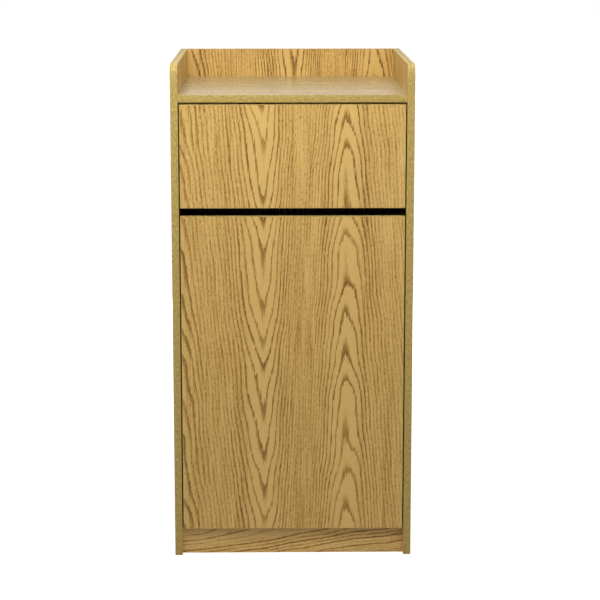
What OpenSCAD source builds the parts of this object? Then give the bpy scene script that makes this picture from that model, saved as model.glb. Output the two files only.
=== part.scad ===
// Tray top trash can: an oak laminate cabinet with a tray surface inside a low gallery,
// a push flap that swings inwards, a side-hung door below it and a rigid liner inside.
// Millimetres, +Z up, the front at -Y, the origin on the floor in the middle of the base.

/* [Cabinet] */
// Overall width across the two side panels
cabinet_w = 610; // [560:5:700]
// Overall depth from the front edges to the back
cabinet_d = 610; // [560:5:700]
// Overall height to the top of the gallery
cabinet_h = 1270; // [1200:5:1360]
// Thickness of every laminated board
board_t = 19; // [18:0.5:22]
// Height of the gallery above the tray surface
gallery_h = 76; // [50:1:120]
// Radius of the rounded front corner of each side panel
corner_r = 28; // [10:1:50]
// Thickness of the plastic edge bands
band_t = 1; // [0.6:0.1:1.5]
// Height of the kick plate and of the deck's upper face
kick_h = 68; // [55:1:100]
// How far the kick plate stands back from the front
kick_setback = 20; // [10:1:60]

/* [Push flap] */
// Height of the flap
flap_h = 261; // [220:0.5:300]
// Gap between the flap's upper edge and the tray board
flap_top_gap = 5; // [3:0.1:7]
// Gap at each end of the flap
flap_side_gap = 3; // [2:0.1:5]
// How far the swing axis lies below the flap's upper edge
flap_axis_drop = 22.5; // [20:0.5:40]
// Radius of the pivot pins
pivot_r = 4; // [3:0.25:5]
// Length of a pivot pin inside the flap
pivot_in_flap = 25; // [15:1:40]
// Length of a pivot pin inside the side panel
pivot_in_side = 12; // [8:1:14]
// Radial play of a pivot pin in its bush
pivot_play = 0.05; // [0.02:0.01:0.1]
// Play between a pivot pin's end and the bottom of its bush
pivot_end_play = 0.5; // [0.3:0.1:1]
// Wall of the bush round the pivot pin
bush_wall = 2; // [1:0.25:3]
// Thickness of the bush's flange in the gap beside the flap
bush_flange_t = 1.2; // [0.8:0.1:1.5]
// How far the bush's flange reaches past its barrel
bush_flange_w = 2; // [1:0.25:2]
// Gap between the flap's inner face and the stop rail
stop_gap = 0.4; // [0.3:0.1:1]
// Depth of the stop rail from front to back
stop_rail_d = 19; // [15:1:40]

/* [Door] */
// Height of the finger slot between the flap and the door
slot_h = 20.5; // [15:0.5:35]
// Gap at each side of the door
door_side_gap = 3; // [2.5:0.1:4]
// Gap between the door and the kick plate
door_bottom_gap = 2.8; // [2:0.1:5]
// How far the end hinges lie from the door's ends
hinge_from_end = 100; // [70:5:150]

/* [Door hinges] */
// Clearance that the turning door corner keeps from the side panel
corner_clear = 0.5; // [0.4:0.05:0.8]
// Radius of the hinge cup's bore in the door
cup_r = 17.5; // [17.5:0.5:18.5]
// Depth of the hinge cup in the door
cup_depth = 13; // [12.5:0.1:13.5]
// Sheet thickness of the hinge cup
cup_wall = 1; // [0.8:0.1:1.2]
// Radial clearance of the cup in its bore
cup_fit = 0.1; // [0.05:0.05:0.2]
// How far the pin lies from the cup's axis towards the side panel
cup_pin_offset = 3; // [2:0.5:4]
// Depth of the pin below the door's inner face
pin_depth = 9; // [8.5:0.1:9]
// Radius of the hinge pin
pin_r = 1.5; // [1.2:0.1:1.6]
// Radial play of the pin in the arm's eye
pin_play = 0.05; // [0.02:0.01:0.1]
// Outer radius of the arm's rolled eye
eye_r = 2.6; // [2.4:0.05:2.7]
// Length of the arm's rolled eye
eye_len = 17; // [14:0.5:18]
// Sheet thickness of the hinge arm
arm_t = 1.6; // [1.2:0.1:1.8]
// Width of the arm's curved nose
nose_w = 11; // [9:0.5:12]
// Direction in which the nose leaves the pin
nose_angle = 146; // [144:0.5:148]
// Direction in which the neck crosses over to the side panel
neck_angle = 20; // [15:1:30]
// Bend radius of the neck along its middle
neck_r = 5; // [4:0.5:7]
// Distance of the arm's web from the side panel
arm_stand = 12; // [10:0.5:14]
// Width of the arm's channel over its flanges
channel_w = 14; // [13:0.5:18]
// Length of the arm's channel
channel_len = 42; // [36:1:50]
// Depth of the channel's flanges
channel_depth = 7; // [5:0.5:8]
// Thickness of the mounting plate's base
plate_t = 2; // [1.5:0.25:3]
// Spacing of the mounting plate's two screws
plate_pitch = 32; // [28:1:36]
// Spacing of the cup's two screws
cup_screw_pitch = 45; // [45:1:48]
// How far the cup's screws lie behind the cup's axis
cup_screw_back = 9.5; // [8:0.5:10]

/* [Catch] */
// How far the catch lies below the door's upper edge
catch_drop = 60; // [40:5:120]
// Height of the catch housing without its ears
catch_h = 40; // [36:1:50]
// Width of the catch housing, away from the side panel
catch_w = 15; // [14:0.5:18]
// Depth of the catch housing from front to back
catch_d = 14; // [13:0.5:20]
// Gap between the strike plate and the poles with the door shut
catch_gap = 0.3; // [0.3:0.05:0.6]
// Thickness of the strike plate
strike_t = 1.2; // [1:0.1:2]

/* [Joinery] */
// Radius of the wooden dowels
dowel_r = 4; // [3:0.5:5]
// Length of the wooden dowels
dowel_len = 30; // [25:1:35]
// Length of a dowel inside the side panel
dowel_in_side = 11; // [8:1:13]
// Distance of the outer dowels from a board's ends
dowel_from_end = 60; // [50:5:80]

/* [Liner] */
// Width and depth of the liner's body at its rim
liner_top = 470; // [440:5:480]
// Width and depth of the liner's body at its floor
liner_bottom = 410; // [390:5:430]
// Height of the liner
liner_h = 700; // [600:10:760]
// Wall thickness of the liner
liner_wall = 3; // [2.5:0.25:5]
// Corner radius of the liner at its rim
liner_corner = 60; // [50:5:90]
// How far the rim reaches past the liner's body
rim_w = 12; // [8:1:16]
// Height of the turned-down lip of the rim
rim_h = 18; // [12:1:30]
// Width of the foot round the liner's raised floor
foot_w = 16; // [10:1:30]
// How far the floor is raised inside the foot
foot_rise = 5; // [3:0.5:10]
// Corner radius of the raised floor
foot_corner = 14; // [8:1:20]

/* [Hidden] */

oak = "#cda562";
oak_band = "#b49f5e";
tray_oak = "#bda98a";
steel = "#c4c6c8";
zinc = "#9da3a6";
pin_steel = "#2b2a29";
nylon = "#3b3128";
liner_grey = "#4b4d4f";

// How far a cutting shape runs past the face that it cuts
past = 1;
// Fine and plain smoothness of round shapes
fine = 96;
round_fn = 48;

// The carcass
front_y = -cabinet_d / 2;
back_y = cabinet_d / 2;
inner_x = cabinet_w / 2 - board_t;
inner_w = 2 * inner_x;
back_in_y = back_y - board_t;
tray_z = cabinet_h - gallery_h;
tray_under_z = tray_z - board_t;
kick_y = front_y + kick_setback;
deck_y = kick_y + board_t;

// The flap
flap_w = inner_w - 2 * flap_side_gap;
flap_top_z = tray_under_z - flap_top_gap;
flap_z = flap_top_z - flap_h;
flap_axis_y = front_y + board_t / 2;
flap_axis_z = flap_top_z - flap_axis_drop;
bush_r = pivot_r + bush_wall;
bush_end_wall = 1.5;
bush_bore = pivot_in_side + pivot_end_play;
bush_len = bush_bore + bush_end_wall;
// The rail's underside clears the flap's inner face as it swings up under the tray
stop_rail_clear = 1;
stop_rail_z = flap_axis_z + board_t / 2 + stop_rail_clear;
stop_rail_y = front_y + board_t + stop_gap;

// The door
door_w = inner_w - 2 * door_side_gap;
door_z = kick_h + door_bottom_gap;
door_top_z = flap_z - slot_h;
door_h = door_top_z - door_z;
door_in_y = front_y + board_t;

// The hinge pin lies far enough from the door's edge for the front corner to turn past the side panel
pin_from_front = board_t - pin_depth;
corner_gap = door_side_gap - corner_clear;
pin_for_corner = (pow(pin_from_front, 2) - pow(corner_gap, 2)) / (2 * corner_gap);
cup_edge_min = 3.5;
pin_for_cup = cup_r + cup_edge_min + band_t - cup_pin_offset;
pin_from_edge = max(pin_for_corner, pin_for_cup);
pin_x = inner_x - door_side_gap - pin_from_edge;
pin_y = front_y + pin_from_front;
hinge_zs = [door_z + hinge_from_end, door_z + door_h / 2, door_top_z - hinge_from_end];

// Around the pin, in the hinge's own frame: X towards the side panel, Y into the cabinet
wall_x = pin_from_edge + door_side_gap;
sweep_r = norm([pin_from_edge, pin_from_front]);
neck_clear = 4;
nose_len = sweep_r + neck_clear;
nose_end = nose_len * [cos(nose_angle), sin(nose_angle)];
bend_1 = nose_end + neck_r * [cos(nose_angle - 90), sin(nose_angle - 90)];
neck_start = bend_1 + neck_r * [cos(neck_angle + 90), sin(neck_angle + 90)];
web_x = wall_x - arm_stand;
bend_2_x = web_x - neck_r;
neck_run = (bend_2_x + neck_r * sin(neck_angle) - neck_start[0]) / cos(neck_angle);
neck_end = neck_start + neck_run * [cos(neck_angle), sin(neck_angle)];
bend_2 = neck_end + neck_r * [cos(neck_angle + 90), sin(neck_angle + 90)];
channel_y = bend_2[1];
sheet_lap = 0.1;
flange_t = 1;
rim_over = 1.5;
wing_r = 6;
ear_r = 3;
ear_gap = 0.3;
ear_end = 14.5;
spine_gap = 0.4;
spine_from_end = 3;
plate_front = 8;
plate_screw_back = 10;
plate_screw_y = channel_y + plate_screw_back;
arm_screw_back = 8;
arm_screw_pitch = 22;
arm_screw_ys = [channel_y + arm_screw_back, channel_y + arm_screw_back + arm_screw_pitch];
pin_len = 2 * ear_end;

// The screws: shank radius, head radius and length
cup_screw = [1.75, 3.5, 12];
plate_screw = [2, 4, 15];
arm_screw = [2, 3.5, 9];
catch_screw = [1.5, 3, 13];
rail_screw = [2, 4, 30];
recess_w = 0.8;
recess_depth = 1.2;
// The recess's length as a share of the head's width, and the tip's width as a share of the shank's
recess_share = 0.6;
tip_share = 0.25;

// The catch, round its middle on the left side panel
catch_z = door_top_z - catch_drop;
pole_out = 1;
pole_t = 1.5;
pole_y = door_in_y + strike_t + catch_gap;
catch_y = pole_y + pole_out;
magnet_w = 8;
magnet_h = 28;
magnet_d = 10;
ear_h = 12;
ear_t = 3;
strike_w = magnet_w + 2 * pole_t;
strike_over = 4;
strike_h = magnet_h + 2 * strike_over;
catch_mid_x = -inner_x + catch_w / 2;

// The dowels' places along each joint
function spread(a, b, n) = [for (k = [0 : n - 1]) a + (b - a) * k / (n - 1)];
tray_dowel_ys = spread(front_y + dowel_from_end, back_in_y - dowel_from_end, 3);
deck_dowel_ys = spread(deck_y + dowel_from_end, back_in_y - dowel_from_end, 3);
back_dowel_zs = spread(dowel_from_end, cabinet_h - dowel_from_end, 5);
kick_dowel_from_end = 20;
kick_dowel_zs = spread(kick_dowel_from_end, kick_h - kick_dowel_from_end, 2);
dowel_spare = 1;

// The liner's width at a height above its floor
function liner_width(z) = liner_bottom + (liner_top - liner_bottom) * z / liner_h;

// A countersunk screw's full shape, pointing along +Z, with its head's face at the origin
module screw_body(size) {
    sink = size[1] - size[0];
    tip = size[0];
    cylinder(r1 = size[1], r2 = size[0], h = sink, $fn = round_fn);
    cylinder(r = size[0], h = size[2] - tip, $fn = round_fn);
    translate([0, 0, size[2] - tip]) cylinder(r1 = size[0], r2 = tip_share * size[0], h = tip, $fn = round_fn);
}

// The same screw with the cross recess in its head
module screw(size) {
    recess = recess_share * 2 * size[1];
    difference() {
        screw_body(size);
        cube([recess, recess_w, 2 * recess_depth], center = true);
        cube([recess_w, recess, 2 * recess_depth], center = true);
    }
}

// Dowels on both sides of the carcass at [y, z] places, longer by extra at each end for their holes
module dowels_at(places, extra) {
    length = dowel_len + 2 * extra;
    for (side = [-1, 1]) {
        for (place = places) {
            translate([side * (inner_x + dowel_in_side - dowel_len / 2), place[0], place[1]])
                rotate([0, 90, 0]) cylinder(r = dowel_r, h = length, center = true, $fn = round_fn);
        }
    }
}

module tray_dowels(extra) {
    dowels_at([for (y = tray_dowel_ys) [y, tray_z - board_t / 2]], extra);
}

module deck_dowels(extra) {
    dowels_at([for (y = deck_dowel_ys) [y, kick_h - board_t / 2]], extra);
}

module back_dowels(extra) {
    dowels_at([for (z = back_dowel_zs) [back_y - board_t / 2, z]], extra);
}

module kick_dowels(extra) {
    dowels_at([for (z = kick_dowel_zs) [kick_y + board_t / 2, z]], extra);
}

module carcass_dowels() {
    color("#c9a46b") {
        tray_dowels(0);
        deck_dowels(0);
        back_dowels(0);
        kick_dowels(0);
    }
}

// A side panel's outline, depth along X and height along Y, its front and top drawn in by an inset
module side_outline(inset) {
    translate([inset, 0]) square([cabinet_d - inset, cabinet_h - corner_r]);
    translate([corner_r, 0]) square([cabinet_d - corner_r, cabinet_h - inset]);
    translate([corner_r, cabinet_h - corner_r]) circle(r = corner_r - inset, $fn = fine);
}

// Stands a [depth, height] outline up as a board whose left face is at x
module upright(x) {
    translate([x, front_y, 0]) rotate([90, 0, 90]) linear_extrude(board_t) children();
}

module side_board(x) {
    difference() {
        upright(x) side_outline(band_t);
        tray_dowels(dowel_spare);
        deck_dowels(dowel_spare);
        back_dowels(dowel_spare);
        kick_dowels(dowel_spare);
        bush_seats();
    }
}

module side_band(x) {
    upright(x) difference() {
        side_outline(0);
        side_outline(band_t);
    }
}

module left_side_panel() {
    color(oak) difference() {
        side_board(-cabinet_w / 2);
        place_catch_screws() screw_body(catch_screw);
    }
}

module right_side_panel() {
    color(oak) difference() {
        side_board(inner_x);
        place_hinges() place_plate_screws() screw_body(plate_screw);
    }
}

module left_side_edge_band() {
    color(oak_band) side_band(-cabinet_w / 2);
}

module right_side_edge_band() {
    color(oak_band) side_band(inner_x);
}

module back_panel() {
    color(oak) difference() {
        translate([-inner_x, back_in_y, 0]) cube([inner_w, board_t, cabinet_h - band_t]);
        back_dowels(dowel_spare);
    }
}

module back_edge_band() {
    color(oak_band) translate([-inner_x, back_in_y, cabinet_h - band_t]) cube([inner_w, board_t, band_t]);
}

module tray_top() {
    depth = back_in_y - front_y - band_t;
    color(tray_oak) difference() {
        translate([-inner_x, front_y + band_t, tray_under_z]) cube([inner_w, depth, board_t]);
        tray_dowels(dowel_spare);
        place_rail_screws() screw_body(rail_screw);
    }
}

module tray_edge_band() {
    color(oak_band) translate([-inner_x, front_y, tray_under_z]) cube([inner_w, band_t, board_t]);
}

module deck_panel() {
    color(oak) difference() {
        translate([-inner_x, deck_y, kick_h - board_t]) cube([inner_w, back_in_y - deck_y, board_t]);
        deck_dowels(dowel_spare);
    }
}

module kick_plate() {
    color(oak) difference() {
        translate([-inner_x, kick_y, 0]) cube([inner_w, board_t, kick_h]);
        kick_dowels(dowel_spare);
    }
}

// Three screws run up through the stop rail into the tray board
module place_rail_screws() {
    for (x = spread(-inner_x + dowel_from_end, inner_x - dowel_from_end, 3)) {
        translate([x, stop_rail_y + stop_rail_d / 2, stop_rail_z]) children();
    }
}

// The rail under the tray, behind the flap's upper edge, that stops the flap from swinging out
module flap_stop_rail() {
    color(oak) difference() {
        translate([-inner_x, stop_rail_y, stop_rail_z])
            cube([inner_w, stop_rail_d, tray_under_z - stop_rail_z]);
        place_rail_screws() screw_body(rail_screw);
    }
}

module stop_rail_screws() {
    color(zinc) place_rail_screws() screw(rail_screw);
}

// Puts a shape that runs along +X, with its zero on the side panel's inner face, at both ends of the flap
module place_pivots() {
    for (side = [-1, 1]) {
        translate([side * inner_x, flap_axis_y, flap_axis_z]) mirror([side < 0 ? 1 : 0, 0, 0])
            rotate([0, 90, 0]) children();
    }
}

module pivot_rod() {
    translate([0, 0, -flap_side_gap - pivot_in_flap])
        cylinder(r = pivot_r, h = pivot_in_flap + flap_side_gap + pivot_in_side, $fn = round_fn);
}

module bush_seats() {
    place_pivots() translate([0, 0, -past]) cylinder(r = bush_r, h = bush_len + past, $fn = round_fn);
}

module flap_pivot_pins() {
    color(pin_steel) place_pivots() pivot_rod();
}

module flap_pivot_bushes() {
    color(nylon) place_pivots() difference() {
        union() {
            translate([0, 0, -bush_flange_t]) cylinder(r = bush_r + bush_flange_w, h = bush_flange_t, $fn = round_fn);
            cylinder(r = bush_r, h = bush_len, $fn = round_fn);
        }
        translate([0, 0, -bush_flange_t - past])
            cylinder(r = pivot_r + pivot_play, h = bush_flange_t + past + bush_bore, $fn = round_fn);
    }
}

// A board standing in the front plane, drawn in by an inset all round and thicker by extra on each face
module front_board(width, low_z, height, inset, extra = 0) {
    translate([-width / 2 + inset, front_y - extra, low_z + inset])
        cube([width - 2 * inset, board_t + 2 * extra, height - 2 * inset]);
}

// The band round all four edges of such a board
module front_band(width, low_z, height) {
    difference() {
        front_board(width, low_z, height, 0);
        front_board(width, low_z, height, band_t, past);
    }
}

module push_flap() {
    color(oak) difference() {
        front_board(flap_w, flap_z, flap_h, band_t);
        place_pivots() pivot_rod();
    }
}

module flap_edge_band() {
    color(oak_band) difference() {
        front_band(flap_w, flap_z, flap_h);
        place_pivots() pivot_rod();
    }
}

module door_panel() {
    color(oak) difference() {
        front_board(door_w, door_z, door_h, band_t);
        place_hinges() cup_bore();
        place_hinges() place_cup_screws() screw_body(cup_screw);
        place_strike_screw() screw_body(catch_screw);
    }
}

module door_edge_band() {
    color(oak_band) front_band(door_w, door_z, door_h);
}

// Puts a shape drawn round the pin at each hinge
module place_hinges() {
    for (z = hinge_zs) {
        translate([pin_x, pin_y, z]) children();
    }
}

// A disc or prism with its axis along +Y, from the door's inner face, round the cup's axis
module on_cup(y) {
    translate([-cup_pin_offset, y, 0]) rotate([-90, 0, 0]) children();
}

module cup_bore() {
    on_cup(pin_depth - cup_depth) cylinder(r = cup_r, h = cup_depth + past, $fn = fine);
}

module place_cup_screws() {
    for (end = [-1, 1]) {
        translate([-cup_pin_offset - cup_screw_back, pin_depth + flange_t, end * cup_screw_pitch / 2])
            rotate([90, 0, 0]) children();
    }
}

// The pressed flange: a rim round the cup and a wing for each screw
module cup_flange() {
    circle(r = cup_r + rim_over, $fn = fine);
    translate([-cup_screw_back - wing_r, -cup_screw_pitch / 2]) square([2 * wing_r, cup_screw_pitch]);
    for (end = [-1, 1]) {
        translate([-cup_screw_back, end * cup_screw_pitch / 2]) circle(r = wing_r, $fn = round_fn);
    }
}

// The ear inside the cup that holds one end of the pin
module pin_ear() {
    ear_z = eye_len / 2 + ear_gap;
    floor_y = pin_depth - cup_depth;
    translate([0, 0, ear_z]) difference() {
        union() {
            cylinder(r = ear_r, h = ear_end - ear_z, $fn = round_fn);
            translate([-ear_r, floor_y + cup_wall / 2, 0]) cube([2 * ear_r, -floor_y - cup_wall / 2, ear_end - ear_z]);
        }
        translate([0, 0, -past]) cylinder(r = pin_r, h = ear_end + 2 * past, $fn = round_fn);
    }
}

module hinge_cup() {
    shell_r = cup_r - cup_fit;
    difference() {
        union() {
            on_cup(pin_depth - cup_depth) cylinder(r = shell_r, h = cup_depth, $fn = fine);
            on_cup(pin_depth) linear_extrude(flange_t) cup_flange();
        }
        on_cup(pin_depth - cup_depth + cup_wall) cylinder(r = shell_r - cup_wall, h = cup_depth + past, $fn = fine);
        place_cup_screws() screw_body(cup_screw);
    }
    pin_ear();
    mirror([0, 0, 1]) pin_ear();
}

module hinge_cups() {
    color(steel) place_hinges() hinge_cup();
}

module hinge_cup_screws() {
    color(zinc) place_hinges() place_cup_screws() screw(cup_screw);
}

module hinge_pins() {
    color(steel) place_hinges() cylinder(r = pin_r, h = pin_len, center = true, $fn = round_fn);
}

// A straight stretch of the arm's sheet, seen edge on, which laps into the bends at its ends
module sheet_run(start, heading, length) {
    translate(start) rotate(heading) translate([-sheet_lap, -arm_t / 2]) square([length + 2 * sheet_lap, arm_t]);
}

// A bend of the arm's sheet round a centre, from one angle to a larger one
module sheet_bend(middle, from, to) {
    reach = 3 * neck_r;
    half = (from + to) / 2;
    translate(middle) intersection() {
        difference() {
            circle(r = neck_r + arm_t / 2, $fn = fine);
            circle(r = neck_r - arm_t / 2, $fn = fine);
        }
        polygon([[0, 0], reach * [cos(from), sin(from)], reach * [cos(half), sin(half)], reach * [cos(to), sin(to)]]);
    }
}

// The arm's sheet from the pin, out of the cup, round the turning door edge and along the side panel
module arm_profile() {
    sheet_run([0, 0], nose_angle, nose_len);
    sheet_bend(bend_1, neck_angle + 90, nose_angle + 90);
    sheet_run(neck_start, neck_angle, neck_run);
    sheet_bend(bend_2, neck_angle - 90, 0);
}

module place_arm_screws() {
    for (y = arm_screw_ys) {
        translate([web_x - arm_t / 2, y, 0]) rotate([0, 90, 0]) children();
    }
}

module hinge_arm() {
    difference() {
        union() {
            cylinder(r = eye_r, h = eye_len, center = true, $fn = round_fn);
            linear_extrude(nose_w, center = true) arm_profile();
            translate([web_x - arm_t / 2, channel_y - sheet_lap, -channel_w / 2])
                cube([arm_t, channel_len + sheet_lap, channel_w]);
            for (edge = [-channel_w / 2, channel_w / 2 - arm_t]) {
                translate([web_x - arm_t / 2, channel_y, edge]) cube([channel_depth, channel_len, arm_t]);
            }
        }
        cylinder(r = pin_r + pin_play, h = eye_len + 2 * past, center = true, $fn = round_fn);
        place_arm_screws() screw_body(arm_screw);
    }
}

module hinge_arms() {
    color(steel) place_hinges() hinge_arm();
}

module hinge_arm_screws() {
    color(zinc) place_hinges() place_arm_screws() screw(arm_screw);
}

module place_plate_screws() {
    for (end = [-1, 1]) {
        translate([wall_x - plate_t, plate_screw_y, end * plate_pitch / 2]) rotate([0, 90, 0]) children();
    }
}

// The mounting plate: a base screwed to the side panel and a spine that carries the arm's channel
module hinge_mounting_plate() {
    spine_half = channel_w / 2 - arm_t - spine_gap;
    spine_y = channel_y + spine_gap;
    spine_len = channel_len - spine_from_end - spine_gap;
    base_y = channel_y - plate_front;
    difference() {
        union() {
            translate([wall_x - plate_t, 0, 0]) rotate([90, 0, 90]) linear_extrude(plate_t) {
                translate([base_y, -spine_half]) square([channel_len + plate_front - spine_from_end, 2 * spine_half]);
                translate([plate_screw_y - wing_r, -plate_pitch / 2]) square([2 * wing_r, plate_pitch]);
                for (end = [-1, 1]) {
                    translate([plate_screw_y, end * plate_pitch / 2]) circle(r = wing_r, $fn = round_fn);
                }
            }
            translate([web_x + arm_t / 2, spine_y, -spine_half])
                cube([wall_x - plate_t / 2 - web_x - arm_t / 2, spine_len, 2 * spine_half]);
        }
        place_plate_screws() screw_body(plate_screw);
        place_arm_screws() screw_body(arm_screw);
    }
}

module hinge_mounting_plates() {
    color(steel) place_hinges() hinge_mounting_plate();
}

module hinge_plate_screws() {
    color(zinc) place_hinges() place_plate_screws() screw(plate_screw);
}

// The catch's two screws run through its ears into the left side panel
module place_catch_screws() {
    for (end = [-1, 1]) {
        translate([-inner_x + ear_t, catch_y + catch_d / 2, catch_z + end * (catch_h + ear_h) / 2])
            rotate([0, -90, 0]) children();
    }
}

// The pocket in the catch that holds the magnet between its two pole plates
module catch_pocket() {
    translate([catch_mid_x - strike_w / 2, catch_y - past, catch_z - magnet_h / 2])
        cube([strike_w, magnet_d + past, magnet_h]);
}

module catch_housing() {
    color("#6d5b43") difference() {
        union() {
            translate([-inner_x, catch_y, catch_z - catch_h / 2]) cube([catch_w, catch_d, catch_h]);
            translate([-inner_x, catch_y, catch_z - catch_h / 2 - ear_h]) cube([ear_t, catch_d, catch_h + 2 * ear_h]);
        }
        catch_pocket();
        place_catch_screws() screw_body(catch_screw);
    }
}

module catch_magnet() {
    color("#3a3a3c") translate([catch_mid_x - magnet_w / 2, catch_y, catch_z - magnet_h / 2])
        cube([magnet_w, magnet_d, magnet_h]);
}

module catch_pole_plates() {
    color(steel) for (x = [catch_mid_x - magnet_w / 2 - pole_t, catch_mid_x + magnet_w / 2]) {
        translate([x, pole_y, catch_z - magnet_h / 2]) cube([pole_t, magnet_d + pole_out, magnet_h]);
    }
}

module catch_screws() {
    color(zinc) place_catch_screws() screw(catch_screw);
}

module place_strike_screw() {
    translate([catch_mid_x, door_in_y + strike_t, catch_z]) rotate([90, 0, 0]) children();
}

module strike_plate() {
    color(steel) difference() {
        translate([catch_mid_x - strike_w / 2, door_in_y, catch_z - strike_h / 2]) cube([strike_w, strike_t, strike_h]);
        place_strike_screw() screw_body(catch_screw);
    }
}

module strike_screw() {
    color(zinc) place_strike_screw() screw(catch_screw);
}

// A square outline with round corners, centred
module soft_square(width, radius) {
    square([width, width - 2 * radius], center = true);
    square([width - 2 * radius, width], center = true);
    for (x = [-1, 1]) {
        for (y = [-1, 1]) {
            translate([x, y] * (width / 2 - radius)) circle(r = radius, $fn = fine);
        }
    }
}

// A tapered block of the liner between two heights, drawn in by a wall: its corners are cones
module liner_block(low, high, wall) {
    low_half = liner_width(low) / 2 - wall;
    high_half = liner_width(high) / 2 - wall;
    corner_at = liner_top / 2 - liner_corner;
    for (turn = [0, 90]) {
        rotate([0, 0, turn]) translate([0, corner_at, 0]) rotate([90, 0, 0]) linear_extrude(2 * corner_at)
            polygon([[-low_half, low], [low_half, low], [high_half, high], [-high_half, high]]);
    }
    for (x = [-corner_at, corner_at]) {
        for (y = [-corner_at, corner_at]) {
            translate([x, y, low])
                cylinder(r1 = low_half - corner_at, r2 = high_half - corner_at, h = high - low, $fn = fine);
        }
    }
}

// The rim: a level plate across the top, hollowed with the body, and its turned-down lip
module rim() {
    outside = liner_top + 2 * rim_w;
    inside = outside - 2 * liner_wall;
    translate([0, 0, liner_h - liner_wall]) linear_extrude(liner_wall) soft_square(outside, liner_corner + rim_w);
    translate([0, 0, liner_h - rim_h]) linear_extrude(rim_h) difference() {
        soft_square(outside, liner_corner + rim_w);
        soft_square(inside, liner_corner + rim_w - liner_wall);
    }
}

// The liner's walls and rim over a flat floor
module liner_shell() {
    difference() {
        union() {
            liner_block(0, liner_h, 0);
            rim();
        }
        liner_block(liner_wall, liner_h + past, liner_wall);
    }
}

// The floor is raised inside a foot, hollow from below, so that the liner stands on its outer edge
module liner_bin() {
    raised = liner_bottom - 2 * foot_w;
    color(liner_grey) translate([0, 0, kick_h]) difference() {
        union() {
            liner_shell();
            linear_extrude(foot_rise + liner_wall) soft_square(raised, foot_corner);
        }
        translate([0, 0, -past]) linear_extrude(foot_rise + past)
            soft_square(raised - 2 * liner_wall, foot_corner - liner_wall);
    }
}

left_side_panel();
right_side_panel();
back_panel();
tray_top();
deck_panel();
kick_plate();
left_side_edge_band();
right_side_edge_band();
back_edge_band();
tray_edge_band();
carcass_dowels();
flap_stop_rail();
stop_rail_screws();
push_flap();
flap_edge_band();
flap_pivot_pins();
flap_pivot_bushes();
door_panel();
door_edge_band();
hinge_cups();
hinge_cup_screws();
hinge_pins();
hinge_arms();
hinge_arm_screws();
hinge_mounting_plates();
hinge_plate_screws();
catch_housing();
catch_magnet();
catch_pole_plates();
catch_screws();
strike_plate();
strike_screw();
liner_bin();
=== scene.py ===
# %% [markdown]
# # Tray top trash can
# The object is a cabinet for waste. Its carcass is oak laminate on particle board, with a tray
# surface inside a low gallery on top, a push flap, a door below it and a rigid liner inside.
# The measured parts come in as a fixed frame. Here they get their finishes, the small round
# edges that a maker would give them, and a studio to stand in.

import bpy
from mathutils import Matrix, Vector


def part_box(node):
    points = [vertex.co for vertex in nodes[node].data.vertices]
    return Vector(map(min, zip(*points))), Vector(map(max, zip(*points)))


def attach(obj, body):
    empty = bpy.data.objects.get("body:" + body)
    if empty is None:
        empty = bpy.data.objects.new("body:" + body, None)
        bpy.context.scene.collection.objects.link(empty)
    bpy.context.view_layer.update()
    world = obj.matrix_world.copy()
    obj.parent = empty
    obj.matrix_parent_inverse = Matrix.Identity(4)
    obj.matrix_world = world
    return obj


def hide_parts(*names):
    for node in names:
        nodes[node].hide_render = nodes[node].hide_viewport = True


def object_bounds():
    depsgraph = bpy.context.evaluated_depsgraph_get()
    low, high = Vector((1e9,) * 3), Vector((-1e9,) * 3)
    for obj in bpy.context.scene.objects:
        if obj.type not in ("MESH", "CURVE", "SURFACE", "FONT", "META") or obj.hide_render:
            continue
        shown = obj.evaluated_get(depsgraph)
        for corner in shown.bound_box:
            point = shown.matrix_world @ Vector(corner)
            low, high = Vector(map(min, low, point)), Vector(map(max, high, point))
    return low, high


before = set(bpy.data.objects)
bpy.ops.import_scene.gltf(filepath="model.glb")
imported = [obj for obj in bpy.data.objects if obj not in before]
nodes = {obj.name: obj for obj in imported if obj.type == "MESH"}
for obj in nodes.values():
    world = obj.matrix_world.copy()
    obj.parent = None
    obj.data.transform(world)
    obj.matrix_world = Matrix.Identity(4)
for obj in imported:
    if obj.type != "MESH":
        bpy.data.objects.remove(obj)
cad_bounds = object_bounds()

# %% [markdown]
# ## Tools and units
# Blender's own modules build and edit everything below. Blender counts in metres, but real parts
# are measured in millimetres, so each size is written in millimetres and one factor turns it.

# %% Tools and units
import math

import bmesh
import bpy
from mathutils import Vector

scene = bpy.context.scene
MM = 0.001
print("one millimetre is", MM, "in the scene")

# %% [markdown]
# ## Colours and nodes
# A colour is written as it would be read from a swatch card, in sRGB hex, but a shader counts in
# linear light, so one function turns the one into the other. A second function adds one shader
# node, sets it up, links what feeds it and hands back one output. Every finish below is made
# with it, so that a finish reads as a list of sums.

# %% Colour and node helpers
def linear(swatch):
    """An sRGB hex swatch as linear red, green, blue and alpha."""
    parts = [int(swatch[i:i + 2], 16) / 255 for i in (1, 3, 5)]
    return [p / 12.92 if p <= 0.04045 else ((p + 0.055) / 1.055) ** 2.4 for p in parts] + [1.0]


def add(tree, kind, inputs=(), out=0, **settings):
    """Adds a node with its settings and the values or links of its inputs, and gives one output."""
    node = tree.nodes.new("ShaderNode" + kind)
    for name, value in settings.items():
        setattr(node, name, value)
    for key, value in inputs.items() if isinstance(inputs, dict) else enumerate(inputs):
        if isinstance(value, bpy.types.NodeSocket):
            tree.links.new(value, node.inputs[key])
        else:
            node.inputs[key].default_value = value
    return node.outputs[out] if node.outputs else None


def set_swatches(ramp, swatches):
    """Gives a colour ramp its swatches, each at its place from 0 to 1."""
    stops = ramp.color_ramp.elements
    while len(stops) < len(swatches):
        stops.new(0.5)
    for stop, (place, swatch) in zip(stops, swatches):
        stop.position = place
        stop.color = linear(swatch)


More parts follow.
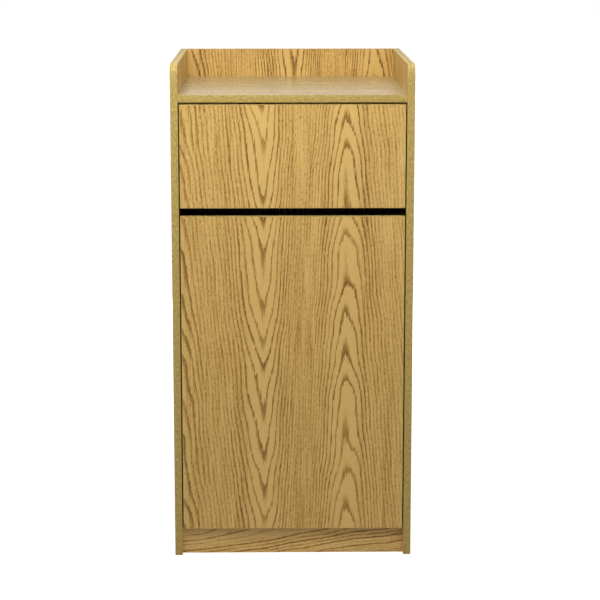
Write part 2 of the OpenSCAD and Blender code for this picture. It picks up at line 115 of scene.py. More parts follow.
def new_finish(name):
    """An empty material and its tree of nodes."""
    made = bpy.data.materials.new(name)
    made.use_nodes = True
    made.node_tree.nodes.clear()
    return made, made.node_tree


print("a mid oak in linear light:", [round(part, 3) for part in linear("#cba55a")])

# %% [markdown]
# ## Places in millimetres and fibres
# The parts keep their place in their mesh, so Object coordinates are the cabinet's own, and a
# pattern runs on from one board to the next as it does when boards are cut from one sheet.
# Scaled to millimetres, they let every pattern be written in real sizes. Wood is made of
# fibres, so most of its marks are noise that is narrow across the grain and long along it.

# %% Place and fibre helpers
def place_in_mm(tree):
    """The surface point in millimetres, as three sockets: x, y and z."""
    point = add(tree, "TexCoord", out="Object")
    scaled = add(tree, "VectorMath", {0: point, "Scale": 1 / MM}, operation="SCALE")
    return add(tree, "SeparateXYZ", (scaled,)).node.outputs


def fibres(tree, across, along, width, length, seed, detail=2.0):
    """Noise from 0 to 1 in patches of a width across the grain and a length along it, in mm."""
    spot = add(tree, "CombineXYZ", (
        add(tree, "Math", (across, width), operation="DIVIDE"),
        add(tree, "Math", (along, length), operation="DIVIDE"),
        seed,
    ))
    return add(tree, "TexNoise", {
        "Vector": spot, "Scale": 1.0, "Detail": detail, "Roughness": 0.55}, noise_dimensions="3D")


print("place and fibre helpers are ready")

# %% [markdown]
# ## Oak figure, first step: one arch
# The boards are particle board faced with printed oak paper under melamine resin, pressed
# against a satin plate. The print shows plain-sawn oak. Where the saw met the growth rings
# almost flat, they show as nested pointed arches about a calm heart. Beside it they stand
# steep and show as close straight lines, the flanks.
# A picture could give this, but it needs a file and shows its repeats. Here the rings are the
# whole-number contours of a height field, as on a map: the height rises slowly along the grain
# and an arch bends its contours. An arch counts the rings that are crossed from its middle
# outwards, slowly in the heart and fast in the flanks, and a small round keeps its tip blunt.

# %% One arch of the figure
def arch(tree, across, shape, rate):
    """How many rings lie between an arch's middle and the place, and how far away the middle is."""
    offset = add(tree, "Math", (across, shape["at"]), operation="SUBTRACT")
    offset = add(tree, "Math", (
        add(tree, "Math", (offset,), operation="ABSOLUTE"), shape["lean"], offset,
    ), operation="MULTIPLY_ADD")
    away = add(tree, "Math", (
        add(tree, "Math", (offset, offset, shape["tip"] ** 2), operation="MULTIPLY_ADD"),
    ), operation="SQRT")
    past_heart = add(tree, "Math", (away, shape["heart"]), operation="SUBTRACT")
    ease = (shape["heart"] / 2) ** 2
    eased = add(tree, "Math", (
        add(tree, "Math", (past_heart, past_heart, ease), operation="MULTIPLY_ADD"),
    ), operation="SQRT")
    flank = add(tree, "Math", (
        add(tree, "Math", (past_heart, eased), operation="ADD"), (rate - shape["heart_rate"]) / 2,
    ), operation="MULTIPLY")
    return add(tree, "Math", (away, shape["heart_rate"], flank), operation="MULTIPLY_ADD"), away


print("one arch of the figure is ready")

# %% [markdown]
# ## Oak figure, second step: the height field
# A board shows three arches side by side: part of one at its left edge, one left of the middle,
# and one right of the middle that points the other way. Two are added to the height and one is
# taken from it, so between them the lines run straight. Noise bends the lines, shifts the
# arches along the board and feathers each line into short fibres. Patches are written as their
# width across the grain and their length along it, in millimetres.

# %% The height field of a board
WANDER_PATCH = (130, 330)
DRIFT_PATCH = (110, 190)
FEATHER_PATCH = (2.6, 50)


def ring_height(tree, across, along, figure):
    """The height (whole numbers are rings), the bent place across, and how far an arch is."""
    seed = figure["seed"]
    wander = fibres(tree, across, along, *WANDER_PATCH, seed)
    wander = add(tree, "Math", (wander, 0.5), operation="SUBTRACT")
    bent = add(tree, "Math", (wander, figure["wander"], across), operation="MULTIPLY_ADD")
    edge, from_edge = arch(tree, bent, figure["edge"], figure["rate"])
    down, from_down = arch(tree, bent, figure["down"], figure["rate"])
    up, from_up = arch(tree, bent, figure["up"], figure["rate"])
    height = add(tree, "Math", (
        edge, add(tree, "Math", (up, down), operation="SUBTRACT")), operation="ADD")
    height = add(tree, "Math", (along, 1 / figure["rise"], height), operation="MULTIPLY_ADD")
    for patch, offset, detail, share in (
            (DRIFT_PATCH, 7, 1.0, figure["drift"]), (FEATHER_PATCH, 3, 2.0, figure["feather"])):
        shift = fibres(tree, across, along, *patch, seed + offset, detail)
        shift = add(tree, "Math", (shift, 0.5), operation="SUBTRACT")
        height = add(tree, "Math", (shift, share, height), operation="MULTIPLY_ADD")
    away = add(tree, "Math", (from_down, from_up), operation="MINIMUM")
    away = add(tree, "Math", (from_edge, away), operation="MINIMUM")
    return height, bent, away


print("the height field of a board is ready")

# %% [markdown]
# ## Oak figure, third step: the rings
# Each ring is dark on one side, where the wood grew late in the year, and fades on the other: a
# wide fade in the heart, a thin line in the flanks. Which side is dark changes over between the
# arches left of the middle and the one right of it, because they point opposite ways. Rings
# differ in strength, as years do, and weaken away from an arch.

# %% The rings of a board
TIP_ENDS = (5, 16)
FLANK_BEGINS = (22, 50)
RINGS_WEAKEN = (25, 100)
HALF_CHANGEOVER = 50
LINE_FULL = 0.97
STRONGEST = 1.05


def oak_rings(tree, across, along, figure):
    """How dark the growth rings are, from 0 to 1, and how much of a flank the place is."""
    height, bent, away = ring_height(tree, across, along, figure)
    part = add(tree, "Math", (height,), operation="FRACT")
    flankness = add(tree, "MapRange", (away, *FLANK_BEGINS))
    start = add(tree, "MapRange", (flankness, 0, 1, figure["heart_start"], figure["flank_start"]))
    tip = add(tree, "MapRange", (away, *TIP_ENDS, figure["tip_start"], 1))
    start = add(tree, "Math", (start, tip), operation="MULTIPLY")
    rest = add(tree, "Math", (1.0, part), operation="SUBTRACT")
    rising = add(tree, "MapRange", (part, start, LINE_FULL), interpolation_type="SMOOTHSTEP")
    falling = add(tree, "MapRange", (rest, start, LINE_FULL), interpolation_type="SMOOTHSTEP")
    middle = (figure["down"]["at"] + figure["up"]["at"]) / 2
    side = add(tree, "MapRange", (
        bent, middle - HALF_CHANGEOVER, middle + HALF_CHANGEOVER), interpolation_type="SMOOTHSTEP")
    near = add(tree, "Mix", {0: side, 2: rising, 3: falling}, data_type="FLOAT")
    chance = add(tree, "TexWhiteNoise", {
        "W": add(tree, "Math", (height,), operation="FLOOR")}, out="Value", noise_dimensions="1D")
    strength = add(tree, "Math", (
        add(tree, "MapRange", (away, *RINGS_WEAKEN, figure["heart_dark"], figure["flank_dark"])),
        add(tree, "MapRange", (chance, 0, 1, figure["faintest"], STRONGEST)),
    ), operation="MULTIPLY")
    return add(tree, "Math", (near, strength), operation="MULTIPLY"), flankness


print("the rings of a board are ready")

# %% [markdown]
# ## Oak's marks
# Over the rings lie the marks that make oak what it is: short open pores, most of them in the
# late wood, streaks, fine fibres and broad bands of colour. A real pore is 0.3 mm wide, far less
# than a pixel of 2.5 mm, so pores and fibres are drawn 1.6 to 4 mm wide: as coarse as they must
# be to show. Each mark darkens the wood by its own share.

# %% Oak's marks
PORE_PATCH, PORE_SHARE = (1.6, 9), 0.36
FINE_PATCH, FINE_SHARE = (1.8, 16), 0.5
STREAK_PATCH, STREAK_SHARE = (4.2, 160), 0.9
BAND_PATCH, BAND_SHARE = (24, 620), 0.2
PORES_SHOW = (0.48, 0.64)
BANDS_SHOW = (0.34, 0.7)
PORES_IN_FLANK, PORES_ANYWHERE = 0.5, 0.2


def oak_marks(tree, across, along, near, flankness, seed):
    """The pores, and how dark rings, pores, streaks, fibres and bands are together."""
    busy = add(tree, "Math", (flankness, PORES_IN_FLANK, PORES_ANYWHERE), operation="MULTIPLY_ADD")
    busy = add(tree, "Math", (near, busy), operation="MAXIMUM")
    pores = fibres(tree, across, along, *PORE_PATCH, seed + 17, 1.0)
    pores = add(tree, "MapRange", (pores, *PORES_SHOW))
    pores = add(tree, "Math", (pores, busy), operation="MULTIPLY")
    streaks = fibres(tree, across, along, *STREAK_PATCH, seed + 11)
    streaks = add(tree, "Math", (streaks, 0.5), operation="SUBTRACT")
    streaks = add(tree, "Math", (streaks, flankness), operation="MULTIPLY")
    fine = fibres(tree, across, along, *FINE_PATCH, seed + 13)
    fine = add(tree, "Math", (fine, 0.5), operation="SUBTRACT")
    bands = fibres(tree, across, along, *BAND_PATCH, seed + 19)
    bands = add(tree, "MapRange", (bands, *BANDS_SHOW))
    bands = add(tree, "Math", (bands, flankness), operation="MULTIPLY")
    dark = near
    for mark, share in (
            (pores, PORE_SHARE), (streaks, STREAK_SHARE), (fine, FINE_SHARE), (bands, BAND_SHARE)):
        dark = add(tree, "Math", (mark, share, dark), operation="MULTIPLY_ADD")
    return pores, dark


print("a mark's smallest width is", min(PORE_PATCH[0], FINE_PATCH[0]), "mm")

# %% [markdown]
# ## Oak laminate
# Rings and marks together choose a colour between pale early wood and dark late wood. The resin
# over the print is satin, a little rougher where the plate pressed the pores in. What shows at a
# raw edge is particle board: chips of about 3 mm in several browns.
# The figure's numbers: rate is rings per millimetre across a flank, rise is millimetres along
# the board for each ring, and of each arch at is its middle, heart the half width of its calm
# part, tip its blunt round and lean how much it leans.

# %% Oak laminate's finish
OAK_SWATCHES = [(0.0, "#dcb86e"), (0.3, "#cba55c"), (0.62, "#a27834"), (1.0, "#704616")]
CHIP_SWATCHES = [(0.0, "#8d6a42"), (0.5, "#ab8759"), (1.0, "#c6a678")]
CHIP_MM = 3.2
PORE_DEPTH = 0.04 * MM
PORES_ROUGHER = 0.16
EVEN_TINT = 0.08
UPRIGHT_FIGURE = {
    "seed": 1.0, "rate": 0.122, "rise": 100.0, "slant": 0.0,
    "edge": {"at": -318.0, "heart": 60.0, "heart_rate": 0.03, "tip": 4.0, "lean": 0.0},
    "down": {"at": -74.0, "heart": 36.0, "heart_rate": 0.034, "tip": 3.0, "lean": 0.12},
    "up": {"at": 132.0, "heart": 32.0, "heart_rate": 0.026, "tip": 5.0, "lean": 0.0},
    "wander": 12.0, "drift": 2.3, "feather": 0.6, "heart_start": 0.72, "flank_start": 0.4,
    "heart_dark": 0.88, "flank_dark": 0.4, "tip_start": 0.55, "faintest": 0.5,
}


def chip_board(tree):
    """The colour of raw particle board."""
    chips = add(tree, "TexVoronoi", {
        "Vector": add(tree, "TexCoord", out="Object"), "Scale": 1 / (CHIP_MM * MM)}, out="Color")
    board = add(tree, "ValToRGB", (add(tree, "SeparateColor", (chips,)),))
    set_swatches(board.node, CHIP_SWATCHES)
    return board


def oak(name, across_axis, along_axis, roughness=0.4, contrast=1.0, specular=0.35,
        swatches=OAK_SWATCHES, raw_from=None, **changes):
    """Oak laminate whose grain runs along one axis; changes alter the figure."""
    figure = {**UPRIGHT_FIGURE, **changes}
    made, tree = new_finish(name)
    place = place_in_mm(tree)
    along = place[along_axis]
    across = add(tree, "Math", (
        along, figure["slant"], place[across_axis]), operation="MULTIPLY_ADD")
    near, flankness = oak_rings(tree, across, along, figure)
    pores, dark = oak_marks(tree, across, along, near, flankness, figure["seed"])
    dark = add(tree, "Math", (dark, EVEN_TINT), operation="ADD")
    dark = add(tree, "Math", (dark, contrast), operation="MULTIPLY", use_clamp=True)
    colour = add(tree, "ValToRGB", (dark,))
    set_swatches(colour.node, swatches)
    if raw_from is not None:
        raw = add(tree, "Math", (place[1], raw_from), operation="GREATER_THAN")
        colour = add(tree, "Mix", {0: raw, 6: colour, 7: chip_board(tree)}, out=2, data_type="RGBA")
    pressed = add(tree, "Math", (1.0, pores), operation="SUBTRACT")
    add(tree, "OutputMaterial", (add(tree, "BsdfPrincipled", {
        "Base Color": colour, "Specular IOR Level": specular,
        "Roughness": add(tree, "MapRange", (pores, 0, 1, roughness, roughness + PORES_ROUGHER)),
        "Normal": add(tree, "Bump", {"Height": pressed, "Distance": PORE_DEPTH, "Strength": 1.0}),
    }),))
    return made


def moved(*places):
    """The three arches with their middles at other places across the grain, in rising order."""
    arches = zip(("edge", "down", "up"), places)
    return {name: {**UPRIGHT_FIGURE[name], "at": at} for name, at in arches}


print("figure: lines every", round(1 / UPRIGHT_FIGURE["rate"], 1), "mm in the flanks, rings every",
      UPRIGHT_FIGURE["rise"], "mm along the heart")

# %% [markdown]
# ## A laminate for each board
# A maker cuts front and sides with the grain upright, and the tray surface and the kick plate
# with the grain across. Flap and door are cut from one sheet, one above the other, so one finish
# serves both and the arches run on across the slot. Other boards have their arches elsewhere.

# %% Make the laminates
# Satin melamine over an oak print: warm yellow brown, with a soft sheen that is never a mirror.
front_oak = oak("oak_laminate_front", 0, 2)
# The back is cut from a busier sheet, whose lines stand closer.
back_oak = oak("oak_laminate_back", 0, 2, contrast=1.05, seed=4.0, rate=0.155,
               **moved(-300.0, 10.0, 232.0))
# The sides' rear edges, in the cabinet's rearmost plane, are raw: a wall hides them.
REAR_MM = cad_bounds[1][1] / MM
side_oak = oak("oak_laminate_side", 1, 2, raw_from=REAR_MM - 0.1, seed=7.0,
               **moved(-360.0, -150.0, 90.0))
# Trays slide on the tray surface, which is a paler and glossier sheet.
TRAY_SWATCHES = [(0.0, "#bda87a"), (0.4, "#a48b52"), (1.0, "#775d2b")]
tray_oak = oak("oak_laminate_tray", 1, 0, roughness=0.25, specular=0.5, swatches=TRAY_SWATCHES,
               seed=9.0, **moved(-400.0, -190.0, 60.0))
# The kick plate is cut a little out of level; its paler swatches are painted light.
# They stand in for light that the lamps don't bring in under the door, where the kick is shaded.
KICK_SWATCHES_PAINTED_LIGHT = [(0.0, "#e8c37b"), (0.3, "#d7b068"), (0.62, "#aa7c36"), (1.0, "#6c4213")]
kick_oak = oak("oak_laminate_kick", 2, 0, contrast=0.95, swatches=KICK_SWATCHES_PAINTED_LIGHT, seed=12.0,
               slant=-0.055, wander=30.0, heart_dark=0.9, flank_dark=0.78, faintest=0.0,
               rate=0.1, **moved(-300.0, -150.0, 90.0))
# Turned beech of the dowels: they are glued inside the boards, so the print's brown serves.
beech = oak("turned_beech", 1, 0, seed=21.0)
print("laminates:", front_oak.name, back_oak.name, side_oak.name, tray_oak.name, kick_oak.name)

# %% [markdown]
# ## Edge band
# The edge band is extruded ABS, 1 mm thick, printed in a plain olive brown that only roughly
# meets the laminate. That is why the cabinet's outline reads as a calmer strip about each board.
# Its print is fine streaks along the band under a soft mottle.

# %% Edge band's finish
BAND_PALE = "#d1b464"
BAND_DARK = "#917b43"
BAND_STREAK_PATCH, BAND_STREAK_SHARE = (1.7, 14), 0.45
BAND_MOTTLE_PATCH, BAND_MOTTLE_SHARE = (4.5, 7), 0.55
BAND_STREAKS_SHOW, BAND_MOTTLE_SHOWS = (0.3, 0.7), (0.34, 0.66)
BAND_RELIEF = 0.02 * MM


def banding(name, across_axis, along_axis):
    """Printed edge band whose streaks run along one axis."""
    made, tree = new_finish(name)
    place = place_in_mm(tree)
    across, along = place[across_axis], place[along_axis]
    streaks = fibres(tree, across, along, *BAND_STREAK_PATCH, 3.0)
    streaks = add(tree, "MapRange", (streaks, *BAND_STREAKS_SHOW))
    mottle = fibres(tree, across, along, *BAND_MOTTLE_PATCH, 5.0)
    mottle = add(tree, "MapRange", (mottle, *BAND_MOTTLE_SHOWS))
    dark = add(tree, "Math", (streaks, BAND_STREAK_SHARE), operation="MULTIPLY")
    dark = add(tree, "Math", (mottle, BAND_MOTTLE_SHARE, dark), operation="MULTIPLY_ADD")
    colour = add(tree, "Mix", {
        0: dark, 6: linear(BAND_PALE), 7: linear(BAND_DARK)}, out=2, data_type="RGBA")
    add(tree, "OutputMaterial", (add(tree, "BsdfPrincipled", {
        "Base Color": colour, "Roughness": 0.5, "Specular IOR Level": 0.25,
        "Normal": add(tree, "Bump", {"Height": streaks, "Distance": BAND_RELIEF, "Strength": 1.0}),
    }),))
    return made


# Extruded and printed ABS: an even satin, one shade from board to board.
upright_band = banding("printed_abs_band_upright", 0, 2)
level_band = banding("printed_abs_band_level", 2, 0)
print("edge bands:", upright_band.name, level_band.name)

# %% [markdown]
# ## Metals and mouldings
# The fittings inside are small and plain. Each gets two near swatches that a fine grain mixes,
# and the same grain as its relief, so that no surface is perfectly even. Plating and moulding
# grain is about 0.05 mm, too fine to show, so it is drawn 0.5 to 1.5 mm wide.

# %% Finishes of the fittings
GRAIN_SHOWS = (0.36, 0.64)


def plain(name, swatch, darker, roughness, metallic=0.0, grain_mm=0.5, depth_mm=0.01):
    """A finish of two near swatches that a fine grain mixes, with the same grain as its relief."""
    made, tree = new_finish(name)
    x, y, z = place_in_mm(tree)
    grain = fibres(tree, x, add(tree, "Math", (y, z), operation="ADD"), grain_mm, grain_mm, 2.0)
    colour = add(tree, "Mix", {
        0: add(tree, "MapRange", (grain, *GRAIN_SHOWS)), 6: linear(swatch), 7: linear(darker),
    }, out=2, data_type="RGBA")
    add(tree, "OutputMaterial", (add(tree, "BsdfPrincipled", {
        "Base Color": colour, "Metallic": metallic, "Roughness": roughness,
        "Normal": add(tree, "Bump", {"Height": grain, "Distance": depth_mm * MM, "Strength": 1.0}),
    }),))
    return made


# Nickel plate on pressed steel: warm silver, bright where it faces a lamp.
nickel = plain("nickel_plated_steel", "#c9c6bf", "#c1beb7", 0.28, metallic=1.0, grain_mm=1.5)
# Zinc plate on screws: cooler and duller than nickel.
zinc = plain("zinc_plated_steel", "#a8adb2", "#9da2a8", 0.36, metallic=1.0, grain_mm=0.8)
# Pivot pins in blackened steel; their near-black is also painted shade in the gap beside the flap.
pin_steel_gap_shade = plain("blackened_steel_gap_shade", "#1d1c1b", "#181716", 0.5, metallic=0.6)
# Moulded nylon of the pivot bushes: dark brown with a waxy sheen.
nylon = plain("moulded_nylon", "#3b3128", "#372d25", 0.45)
# Moulded ABS of the catch: brown to suit oak, smoother than nylon.
catch_plastic = plain("moulded_abs", "#5b4630", "#54402b", 0.4)
# Sintered ferrite of the magnet: matt charcoal, like unglazed stoneware.
ferrite = plain("sintered_ferrite", "#343436", "#2e2e30", 0.6)
# Moulded polyethylene of the liner: grey and soft to the eye, with the mould's fine texture.
polyethylene = plain(
    "moulded_polyethylene", "#43464a", "#3d4044", 0.42, grain_mm=1.2, depth_mm=0.03)
print("fittings' finishes: nickel, zinc, blackened steel, nylon, ABS, ferrite, polyethylene")

# %% [markdown]
# ## Working on a copy of a part
# A part's mesh is loose triangles, which is fine to render but not to edit. So a copy of it is
# merged: doubles go, and triangles in one plane join to a face. Then edges and faces can be
# picked by where they are or which way they point, and the tools of edit mode work on them.
# A bevel can bulge by a few hundredths of a millimetre where several edges meet, so a finished
# piece's points are kept inside the measured box.

# %% Helpers for a copy
DOUBLES_WITHIN = 0.002 * MM
SAME_PLANE = math.radians(0.5)


def only(thing):
    """Makes one object the only selected one, and the active one."""
    bpy.ops.object.select_all(action="DESELECT")
    thing.select_set(True)
    bpy.context.view_layer.objects.active = thing


def merged_copy(node, name):
    """A new piece from a part's mesh, its triangles merged to plain faces."""
    piece = bpy.data.objects.new(name, nodes[node].data.copy())
    scene.collection.objects.link(piece)
    only(piece)
    bpy.ops.mesh.customdata_custom_splitnormals_clear()
    bpy.ops.object.mode_set(mode="EDIT")
    bpy.ops.mesh.select_all(action="SELECT")
    bpy.ops.mesh.remove_doubles(threshold=DOUBLES_WITHIN)
    bpy.ops.mesh.dissolve_limited(angle_limit=SAME_PLANE)
    bpy.ops.object.mode_set(mode="OBJECT")
    return piece


print("a copy can be merged")

# %% [markdown]
# ## Picking and finishing
# A person picks edges with the mouse. Here a test picks them by which way they point, which
# stays right when a size changes. The last step is the same for every piece: it gets smooth
# shading where its faces meet at a low angle, its finish, and the body that it moves with.

# %% Helpers to pick and to finish
SMOOTH_BELOW = math.radians(35)


def pick(piece, kind, wanted):
    """In edit mode, selects just the edges or faces that a test accepts, and returns how many."""
    bpy.ops.mesh.select_mode(type=kind)
    bpy.ops.mesh.select_all(action="DESELECT")
    mesh = bmesh.from_edit_mesh(piece.data)
    found = [part for part in (mesh.edges if kind == "EDGE" else mesh.faces) if wanted(part)]
    for part in found:
        part.select_set(True)
    bmesh.update_edit_mesh(piece.data)
    return len(found)


def finished(piece, body, material, node):
    """Keeps a piece in the box of the part it stands for, and gives it shading, finish and body."""
    low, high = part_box(node)
    for point in piece.data.vertices:
        point.co = [min(max(at, least), most) for at, least, most in zip(point.co, low, high)]
    only(piece)
    bpy.ops.object.shade_smooth_by_angle(angle=SMOOTH_BELOW)
    piece.data.materials.clear()
    piece.data.materials.append(material)
    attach(piece, body)
    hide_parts(node)
    print(piece.name, "has", len(piece.data.polygons), "faces")


print("edges and faces can be picked")

# %% [markdown]
# ## Edge bands
# A band is glued on square and then trimmed with a radius cutter, so its two long arrises are
# round and catch a thin line of light. The measured bands are square. On a copy of each, the
# arrises between two faces that both point away from the board are bevelled. The edges along
# the board stay sharp, so the joint stays closed.

# %% Round the arrises of every band
ARRIS = 0.8 * MM
SHARP_ABOVE = 1.0
BANDS = {
    "left_side_edge_band": ("left_side_panel", "root", upright_band),
    "right_side_edge_band": ("right_side_panel", "root", upright_band),
    "back_edge_band": ("back_panel", "root", level_band),
    "tray_edge_band": ("tray_top", "root", level_band),
    "flap_edge_band": ("push_flap", "flap", level_band),
    "door_edge_band": ("door_panel", "door", level_band),
}
for band, (board, body, finish) in BANDS.items():
    low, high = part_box(board)
    middle = (low + high) / 2
    piece = merged_copy(band, band + "_trimmed")

    def outward(face):
        return face.normal.dot(face.calc_center_median() - middle) > 0

    def arris(edge):
        faces = edge.link_faces
        sharp = len(faces) == 2 and faces[0].normal.angle(faces[1].normal) > SHARP_ABOVE
        return sharp and all(map(outward, faces))

    bpy.ops.object.mode_set(mode="EDIT")
    print(band, "arrises:", pick(piece, "EDGE", arris))
    bpy.ops.mesh.bevel(offset=ARRIS, segments=4, affect="EDGES")
    bpy.ops.object.mode_set(mode="OBJECT")
    finished(piece, body, finish, band)

# %% [markdown]
# ## Pressed and moulded fittings
# The die leaves blanked and bent sheet steel with slightly round edges, and a mould does the
# same for a housing. On parts of this size, a Bevel modifier that is limited by angle does it
# well: it eases every sharp edge of a merged copy at once. It is applied, so that the piece's
# own mesh keeps the round edges.

# %% Ease the fittings
EASE_ABOVE = math.radians(40)
FITTINGS = {
    "hinge_cups": ("door", "nickel_steel", nickel, 0.25),
    "hinge_arms": ("root", "nickel_steel", nickel, 0.25),
    "hinge_mounting_plates": ("root", "nickel_steel", nickel, 0.3),
    "catch_housing": ("root", "catch_plastic", catch_plastic, 0.6),
    "strike_plate": ("door", "nickel_steel", nickel, 0.2),
    "catch_pole_plates": ("root", "nickel_steel", nickel, 0.2),
}


def bevelled(piece, radius, segments):
    """Rounds every sharp edge of a piece with a modifier, and applies it."""
    only(piece)
    ease = piece.modifiers.new("ease", "BEVEL")
    ease.width = radius
    ease.segments = segments
    ease.limit_method = "ANGLE"
    ease.angle_limit = EASE_ABOVE
    bpy.ops.object.modifier_apply(modifier=ease.name)


for node, (body, slot, material, radius) in FITTINGS.items():
    piece = merged_copy(node, node + "_eased")
    bevelled(piece, radius * MM, segments=2)
    finished(piece, body, material, node)

# %% [markdown]
# ## Liner, first step: block, taper and corners
# The rigid liner is a rotationally moulded bin: one even wall, soft corners, a taper so that it
# leaves its mould, a foot ring round a raised base, and a flat rim turned down to a lip for the
# hands. A block the size of the bin's inside is the start, because the wall is added outwards
# later. Its top is made wider than its floor, and its four upright edges are bevelled in many
# segments to the corner radius. A face counts as level when its normal is nearly upright.

# %% Start the liner
WALL = 3 * MM
FLOOR_OUTSIDE = 410 * MM
TOP_OUTSIDE = 470 * MM
CORNER = 50 * MM
CORNER_SEGMENTS = 12
LEVEL = 0.9
floor_inside = FLOOR_OUTSIDE - 2 * WALL
top_inside = TOP_OUTSIDE - 2 * WALL
low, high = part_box("liner_bin")
base = low.z + WALL
bpy.ops.object.select_all(action="DESELECT")
bpy.ops.mesh.primitive_cube_add(size=1, location=(0, 0, (base + high.z) / 2))
liner = bpy.context.active_object
liner.name = "moulded_liner"
liner.scale = (floor_inside, floor_inside, high.z - base)
bpy.ops.object.transform_apply(location=True, rotation=False, scale=True)
bpy.ops.object.mode_set(mode="EDIT")
pick(liner, "FACE", lambda face: face.normal.z > LEVEL)
taper = top_inside / floor_inside
bpy.ops.transform.resize(value=(taper, taper, 1), center_override=(0, 0, high.z))
half_height = (high.z - base) / 2


def upright(edge):
    """True for an edge that climbs most of the bin's height."""
    first, second = edge.verts
    return abs(first.co.z - second.co.z) > half_height


uprights = pick(liner, "EDGE", upright)
bpy.ops.mesh.bevel(offset=CORNER, segments=CORNER_SEGMENTS, affect="EDGES")
print("liner's upright edges rounded:", uprights)

# %% [markdown]
# ## Liner, second step: foot ring and rim
# The floor is inset twice, and its middle is raised, which leaves the foot ring that the bin
# stands on. The top is opened, and its edge is extruded outwards as the flat rim and then down
# as the lip. This is how the wall runs in the real bin, so one skin draws it all.

# %% Foot ring and rim
FOOT_RING = 16 * MM
FOOT_SLOPE = 5 * MM
LIP = 18 * MM
rim_out = (high.x - low.x - top_inside) / 2
pick(liner, "FACE", lambda face: face.normal.z < -LEVEL)
bpy.ops.mesh.inset(thickness=FOOT_RING)
bpy.ops.mesh.inset(thickness=FOOT_SLOPE)
bpy.ops.transform.translate(value=(0, 0, FOOT_SLOPE))
pick(liner, "FACE", lambda face: face.normal.z > LEVEL)
bpy.ops.mesh.delete(type="ONLY_FACE")
open_edges = pick(liner, "EDGE", lambda edge: edge.is_boundary)
out = (top_inside / 2 + rim_out) / (top_inside / 2)
bpy.ops.mesh.extrude_edges_move()
bpy.ops.transform.resize(value=(out, out, 1), center_override=(0, 0, high.z))
bpy.ops.mesh.extrude_edges_move(TRANSFORM_OT_translate={"value": (0, 0, -LIP)})
bpy.ops.mesh.select_all(action="SELECT")
bpy.ops.mesh.normals_make_consistent(inside=False)
bpy.ops.object.mode_set(mode="OBJECT")
print("rim drawn from", open_edges, "edges, out by", round(rim_out / MM, 1), "mm")

# %% [markdown]
# ## Liner, last step: wall
# The skin's normals point up from the floor, in from the walls and out from the lip. A Solidify
# modifier adds the wall behind them: below the floor, outside the walls and under the rim. So
# the bin stands on the deck and its rim keeps its height. Then a fine bevel takes the edge off
# rim, lip and foot, as the moulded plastic has no sharp edge at all.

# %% Give the liner its wall and soft edges
SOFT_EDGE = 1.2 * MM
wall = liner.modifiers.new("wall", "SOLIDIFY")
wall.thickness = WALL
wall.offset = -1
wall.use_even_offset = True
only(liner)
bpy.ops.object.modifier_apply(modifier=wall.name)
bevelled(liner, SOFT_EDGE, segments=3)
finished(liner, "root", polyethylene, "liner_bin")

# %% [markdown]
# ## Finishes go onto the parts
# Parts that are shown as measured, boards and screws, get their finish here. Parts that a piece
# above stands in for get theirs too, so that each of them shows rightly by itself.

# %% Finish every part
WEARS = {
    side_oak: ("left_side_panel", "right_side_panel"),
    back_oak: ("back_panel",),
    tray_oak: ("tray_top", "deck_panel"),
    kick_oak: ("kick_plate", "flap_stop_rail"),
    front_oak: ("push_flap", "door_panel"),
    beech: ("carcass_dowels",),
    upright_band: ("left_side_edge_band", "right_side_edge_band"),
    level_band: ("back_edge_band", "tray_edge_band", "flap_edge_band", "door_edge_band"),
    nickel: ("hinge_cups", "hinge_pins", "hinge_arms", "hinge_mounting_plates",
             "catch_pole_plates", "strike_plate"),
    zinc: ("stop_rail_screws", "hinge_cup_screws", "hinge_arm_screws", "hinge_plate_screws",
           "catch_screws", "strike_screw"),
    pin_steel_gap_shade: ("flap_pivot_pins",),
    nylon: ("flap_pivot_bushes",),
    catch_plastic: ("catch_housing",),
    ferrite: ("catch_magnet",),
    polyethylene: ("liner_bin",),
}
for finish, names in WEARS.items():
    for name in names:
        nodes[name].data.materials.clear()
        nodes[name].data.materials.append(finish)
print("finished parts:", sum(map(len, WEARS.values())), "of", len(nodes))

# %% [markdown]
# ## Lamps
# A product photograph is lit by soft boxes. The key hangs in front and above, so that the flap
# is brighter than the door. Two large ones stand farther off at the left and the right. They
# reach in under the door, so its shadow on the kick plate is soft, but they stand too high to
# shine into the finger slot. Others light the top, the sides and the back. A soft box is an
# area lamp: the larger it is, the softer its shadow. The camera doesn't see the lamps.

# %% Hang the lamps
def soft_box(name, place, target, size, watts):
    """A square area lamp that faces a target."""
    lamp = bpy.data.lights.new(name, "AREA")
    lamp.shape = "SQUARE"
    lamp.size = size
    lamp.energy = watts
    holder = bpy.data.objects.new(name, lamp)
    holder.location = place
    holder.rotation_euler = (Vector(target) - Vector(place)).to_track_quat("-Z", "Y").to_euler()
    holder.visible_camera = False
    scene.collection.objects.link(holder)


# Each lamp has its place, its target and its size in metres, and then its power in watts.
soft_box("key", (-0.3, -1.45, 2.3), (0, -0.3, 1.0), 0.9, 26.5)
soft_box("left_front", (-2.5, -3.7, 3.2), (0, -0.3, 0.3), 2.2, 32)
soft_box("right_front", (2.5, -3.7, 3.2), (0, -0.3, 0.3), 2.2, 42)
soft_box("top", (0, 0.2, 3.2), (0, 0, 0.6), 2.0, 22)
soft_box("left_side", (-3.2, 0.2, 0.8), (0, 0, 0.6), 1.6, 26)
soft_box("right_side", (3.2, 0.4, 0.8), (0, 0, 0.6), 1.6, 26)
soft_box("behind", (0, 3.2, 0.6), (0, 0, 0.6), 1.0, 40)
print("lamps:", len(bpy.data.lights))

# %% [markdown]
# ## Floor
# The background is white, but not because it is brightly lit: that would throw too much light
# onto the cabinet. Instead, floor and world glow only for rays from the camera, and for those
# that a glossy or clear surface sends on. Near the cabinet the floor glows a little less, so
# that its shadow still shows.

# %% Floor
FLOOR_METRES = 60
SHADOW_ENDS = (500, 2600)
NEAR_GLOW = 0.8


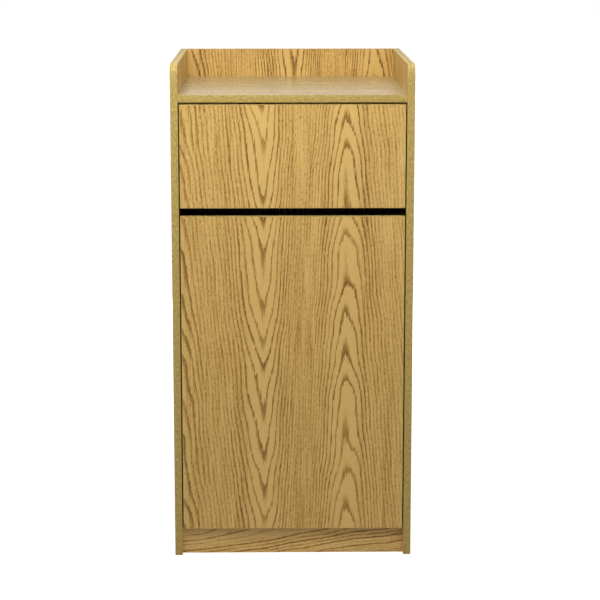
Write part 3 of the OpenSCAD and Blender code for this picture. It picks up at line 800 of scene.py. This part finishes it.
def seen_rays(tree):
    """1 for rays from the camera and from glossy or clear surfaces, otherwise 0."""
    glossy = add(tree, "LightPath", out="Is Glossy Ray")
    clear = glossy.node.outputs["Is Transmission Ray"]
    straight = glossy.node.outputs["Is Camera Ray"]
    return add(tree, "Math", (
        straight, add(tree, "Math", (glossy, clear), operation="MAXIMUM")), operation="MAXIMUM")


bpy.ops.object.select_all(action="DESELECT")
bpy.ops.mesh.primitive_plane_add(size=FLOOR_METRES, location=(0, 0, 0))
floor = bpy.context.active_object
floor.name = "studio_floor"
# Matt emulsion paint on the studio floor: even, with no reflection of the cabinet.
floor_paint, tree = new_finish("studio_floor_paint")
place = place_in_mm(tree)
far = add(tree, "Math", (add(tree, "Math", (
    add(tree, "Math", (place[0], 2.0), operation="POWER"),
    add(tree, "Math", (place[1], 2.0), operation="POWER")), operation="ADD"),), operation="SQRT")
glow = add(tree, "MapRange", (far, *SHADOW_ENDS, NEAR_GLOW, 1.0), interpolation_type="SMOOTHSTEP")
add(tree, "OutputMaterial", (add(tree, "BsdfPrincipled", {
    "Base Color": linear("#a8a8a8"), "Roughness": 0.9, "Emission Color": linear("#ffffff"),
    "Emission Strength": add(tree, "Math", (glow, seen_rays(tree)), operation="MULTIPLY"),
}),))
floor.data.materials.append(floor_paint)
print("floor:", floor_paint.name)

# %% [markdown]
# ## Backdrop
# The world round the scene is white where it is seen, and a weak even fill for everything else,
# as the walls of a studio send some light back.

# %% Backdrop
FILL_LIGHT = 0.12
world = bpy.data.worlds.new("studio")
scene.world = world
world.use_nodes = True
tree = world.node_tree
tree.nodes.clear()
strength = add(tree, "Mix", {0: seen_rays(tree), 2: FILL_LIGHT, 3: 1.0}, data_type="FLOAT")
backdrop = add(tree, "Background", {"Color": linear("#ffffff"), "Strength": strength})
add(tree, "OutputWorld", (backdrop,))
print("the backdrop lights the cabinet at", FILL_LIGHT)

# %% [markdown]
# ## Camera
# The photograph looks slightly down at the cabinet, a touch from the left, through a long lens.
# Focal length, place and angles were found by fitting the cabinet's measured corners to the
# photograph. The lens's axis lies 30 pixels above the picture's middle, which a small shift
# gives. Distances are in metres and angles in radians.

# %% Set up the camera
FOCAL_PX = 1899.4
AXIS_ABOVE_CENTRE_PX = 30
FRAME_PX = 600
SENSOR_MM = 36
FROM_FRONT = 4.722
LEFT_OF_MIDDLE = 0.0497
ABOVE_FLOOR = 1.6099
LOOKS_DOWN = 0.1798
TURNED_RIGHT = 0.0144
camera_data = bpy.data.cameras.new("camera")
camera_data.sensor_width = SENSOR_MM
camera_data.lens = FOCAL_PX * SENSOR_MM / FRAME_PX
camera_data.shift_y = -AXIS_ABOVE_CENTRE_PX / FRAME_PX
camera = bpy.data.objects.new("camera", camera_data)
camera.location = (-LEFT_OF_MIDDLE, cad_bounds[0][1] - FROM_FRONT, ABOVE_FLOOR)
camera.rotation_euler = (math.pi / 2 - LOOKS_DOWN, 0, -TURNED_RIGHT)
scene.collection.objects.link(camera)
scene.camera = camera
scene.view_settings.view_transform = "Standard"
print("lens:", round(camera_data.lens, 1), "mm")
